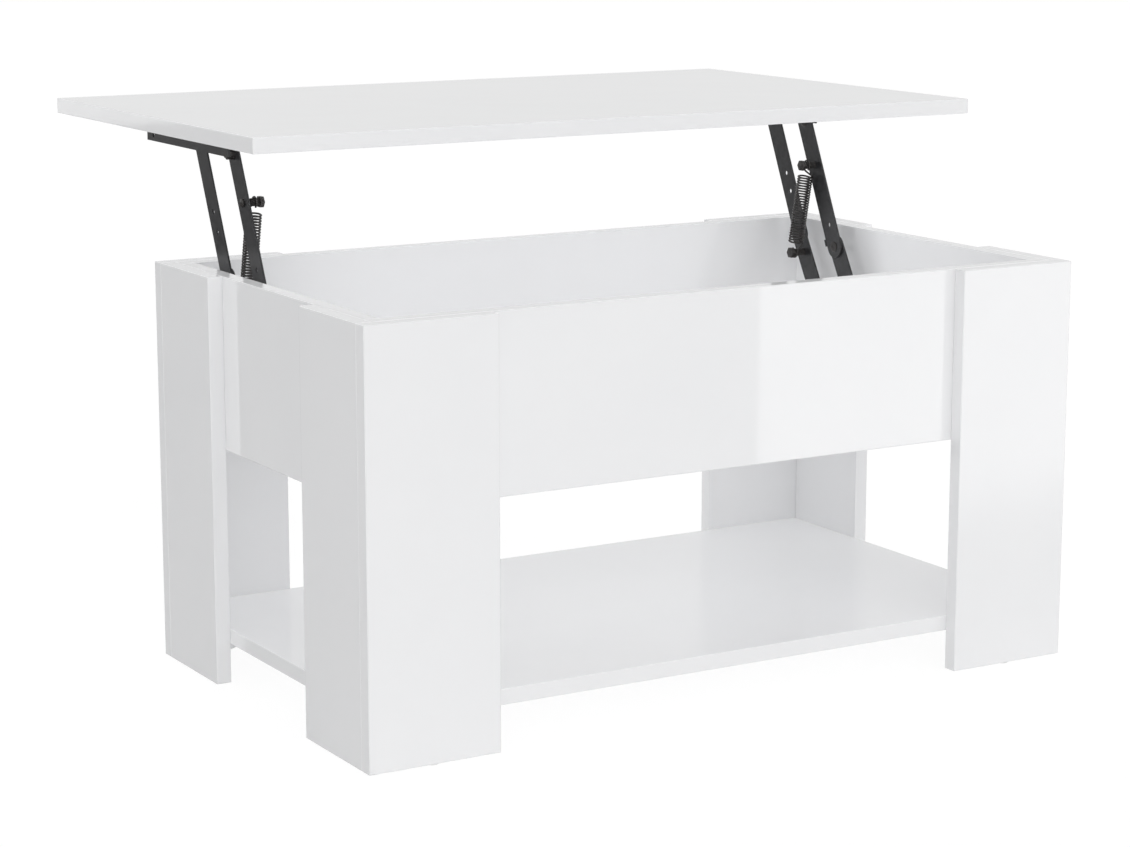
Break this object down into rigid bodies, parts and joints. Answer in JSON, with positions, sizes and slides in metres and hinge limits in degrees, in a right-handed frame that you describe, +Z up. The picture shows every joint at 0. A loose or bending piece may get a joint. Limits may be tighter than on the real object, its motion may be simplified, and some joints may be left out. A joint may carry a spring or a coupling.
{
  "type": "lift top coffee table",
  "caption": "Board-built coffee table on corner legs with a low shelf; spring-assisted parallel arms swing the top up and towards the user over an open storage box",
  "frame": {"origin": "on the floor, under the middle of the body's footprint", "axes": "+X along the table's length, +Y towards the user, the way the top swings out, +Z up"},
  "size_m": [1.01, 0.8418, 0.684],
  "materials": {
    "lacquer": "high-gloss white lacquer on fibreboard",
    "black_steel": "satin black powder coat",
    "spring_wire": "black spring wire",
    "zinc": "bright zinc plating",
    "beech": "plain beech",
    "glide": "plain nylon"
  },
  "bodies": {
    "carcass": {"box_back_panel": "lacquer", "box_front_panel": "lacquer", "box_left_panel": "lacquer", "box_right_panel": "lacquer", "box_floor": "lacquer", "lower_shelf": "lacquer", "back_left_leg_face": "lacquer", "back_left_leg_return": "lacquer", "back_right_leg_face": "lacquer", "back_right_leg_return": "lacquer", "front_left_leg_face": "lacquer", "front_left_leg_return": "lacquer", "front_right_leg_face": "lacquer", "front_right_leg_return": "lacquer", "foot_glides": "glide", "lower_bracket_left": "black_steel", "lower_bracket_right": "black_steel", "lower_spring_bolts": "black_steel", "lower_spring_nuts": "zinc", "front_lower_pins": "black_steel", "rear_lower_pins": "black_steel", "bracket_screws": "zinc", "leg_screws": "zinc", "box_corner_screws": "zinc", "box_floor_screws": "zinc", "leg_dowels": "beech", "shelf_dowels": "beech", "shelf_cams": "zinc", "shelf_cam_bolts": "zinc"},
    "front_arm_right": {"front_arm_right": "black_steel"},
    "front_arm_left": {"front_arm_left": "black_steel"},
    "rear_arm_right": {"rear_arm_right": "black_steel", "upper_spring_bolt_right": "black_steel", "upper_spring_nut_right": "zinc"},
    "rear_arm_left": {"rear_arm_left": "black_steel", "upper_spring_bolt_left": "black_steel", "upper_spring_nut_left": "zinc"},
    "top": {"table_top": "lacquer", "top_hanger_left": "black_steel", "top_hanger_right": "black_steel", "front_upper_pins": "black_steel", "rear_upper_pins": "black_steel", "hanger_screws": "zinc"},
    "spring_right": {"lift_spring_right": "spring_wire"},
    "spring_left": {"lift_spring_left": "spring_wire"}
  },
  "joints": [
    {"name": "lift", "type": "hinge", "parent": "carcass", "child": "front_arm_right", "pos_m": [0, 0.204, 0.4845], "axis": [1, 0, 0], "range_deg": [0, 114.5]},
    {"name": "top_level", "type": "hinge", "parent": "front_arm_right", "child": "top", "pos_m": [0, 0.27782, 0.64647], "axis": [1, 0, 0], "range_deg": [-114.5, 0]},
    {"name": "front_arm_left_swing", "type": "hinge", "parent": "carcass", "child": "front_arm_left", "pos_m": [0, 0.204, 0.4845], "axis": [1, 0, 0], "range_deg": [0, 114.5]},
    {"name": "rear_arm_right_swing", "type": "hinge", "parent": "carcass", "child": "rear_arm_right", "pos_m": [0, 0.117, 0.4775], "axis": [1, 0, 0], "range_deg": [0, 114.5]},
    {"name": "rear_arm_left_swing", "type": "hinge", "parent": "carcass", "child": "rear_arm_left", "pos_m": [0, 0.117, 0.4775], "axis": [1, 0, 0], "range_deg": [0, 114.5]},
    {"name": "spring_right_swing", "type": "hinge", "parent": "carcass", "child": "spring_right", "pos_m": [0, 0.19116, 0.46189], "axis": [1, 0, 0], "range_deg": [0, 73.17], "deforming": ["lift_spring_right"]},
    {"name": "spring_left_swing", "type": "hinge", "parent": "carcass", "child": "spring_left", "pos_m": [0, 0.19116, 0.46189], "axis": [1, 0, 0], "range_deg": [0, 73.17], "deforming": ["lift_spring_left"]}
  ],
  "couplings": [
    {"joint": "top_level", "follows": "lift", "ratio": -1},
    {"joint": "front_arm_left_swing", "follows": "lift", "ratio": 1},
    {"joint": "rear_arm_right_swing", "follows": "lift", "ratio": 1},
    {"joint": "rear_arm_left_swing", "follows": "lift", "ratio": 1},
    {"joint": "spring_right_swing", "follows": "lift", "ratio": 0.639},
    {"joint": "spring_left_swing", "follows": "lift", "ratio": 0.639}
  ]
}
